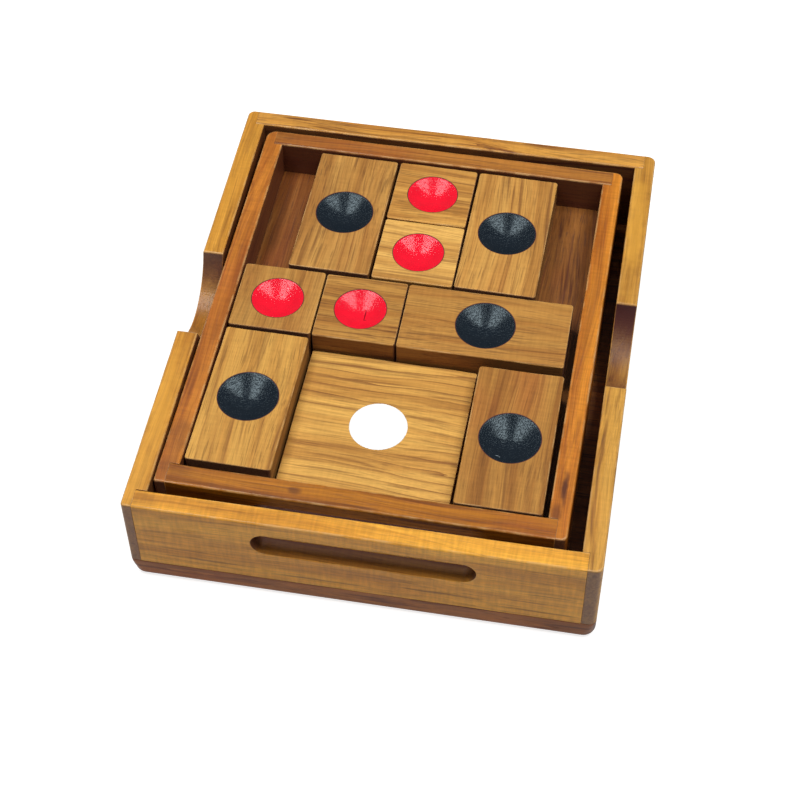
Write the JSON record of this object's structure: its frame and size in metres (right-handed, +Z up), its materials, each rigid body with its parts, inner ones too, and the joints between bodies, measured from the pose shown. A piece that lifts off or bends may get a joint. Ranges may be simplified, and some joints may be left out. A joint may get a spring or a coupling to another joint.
{
  "type": "sliding-block puzzle",
  "caption": "Wooden sliding-block puzzle: loose blocks with painted finger dimples in a tray, set in a case with finger notches and an exit slot for the thin king block.",
  "frame": {"origin": "middle of the case's footprint, on the surface it stands on", "axes": "+Z up, +Y from the exit slot at the front to the back, +X to the right as seen from the front"},
  "size_m": [0.095, 0.115, 0.024],
  "materials": {
    "case_timber": "lacquered golden brown hardwood",
    "tray_timber": "lacquered red brown hardwood",
    "block_timber": "sanded satin tan hardwood",
    "black_paint": "gloss enamel in the long blocks' dimples",
    "red_paint": "gloss enamel in the small blocks' dimples",
    "white_paint": "white enamel spot on the king block"
  },
  "bodies": {
    "case": {"case_bottom_panel": "case_timber", "case_wall_front": "case_timber", "case_wall_back": "case_timber", "case_wall_left": "case_timber", "case_wall_right": "case_timber"},
    "tray": {"tray_floor": "tray_timber", "tray_wall_front": "tray_timber", "tray_wall_back": "tray_timber", "tray_wall_left": "tray_timber", "tray_wall_right": "tray_timber"},
    "long_block_back_left": {"long_block_back_left": "block_timber"},
    "long_block_back_right": {"long_block_back_right": "block_timber"},
    "long_block_across": {"long_block_across": "block_timber"},
    "long_block_front_left": {"long_block_front_left": "block_timber"},
    "long_block_front_right": {"long_block_front_right": "block_timber"},
    "small_block_back": {"small_block_back": "block_timber"},
    "small_block_second": {"small_block_second": "block_timber"},
    "small_block_left": {"small_block_left": "block_timber"},
    "small_block_middle": {"small_block_middle": "block_timber"},
    "king_block": {"king_block": "block_timber"}
  },
  "joints": [
    {"name": "tray_lift", "type": "slide", "parent": "case", "child": "tray", "axis": [0, 0, 1], "range_m": [0, 0.03]},
    {"name": "king_exit", "type": "slide", "parent": "tray", "child": "king_block", "axis": [-0.0087, -1, 0], "range_m": [0, 0.052]},
    {"name": "back_left_slide", "type": "slide", "parent": "tray", "child": "long_block_back_left", "axis": [-1, 0.0087, 0], "range_m": [0, 0.009]},
    {"name": "back_right_slide", "type": "slide", "parent": "tray", "child": "long_block_back_right", "axis": [1, -0.0087, 0], "range_m": [0, 0.0097]},
    {"name": "across_slide", "type": "slide", "parent": "tray", "child": "long_block_across", "axis": [1, -0.0087, 0], "range_m": [0, 0.0015]},
    {"name": "front_left_slide", "type": "slide", "parent": "tray", "child": "long_block_front_left", "axis": [-0.0087, -1, 0], "range_m": [0, 0.0017]},
    {"name": "front_right_slide", "type": "slide", "parent": "tray", "child": "long_block_front_right", "axis": [0.0087, 1, 0], "range_m": [0, 0.0017]},
    {"name": "small_back_lift", "type": "slide", "parent": "tray", "child": "small_block_back", "axis": [0, 0, 1], "range_m": [0, 0.015]},
    {"name": "small_second_lift", "type": "slide", "parent": "tray", "child": "small_block_second", "axis": [0, 0, 1], "range_m": [0, 0.015]},
    {"name": "small_left_lift", "type": "slide", "parent": "tray", "child": "small_block_left", "axis": [0, 0, 1], "range_m": [0, 0.015]},
    {"name": "small_middle_lift", "type": "slide", "parent": "tray", "child": "small_block_middle", "axis": [0, 0, 1], "range_m": [0, 0.015]}
  ]
}
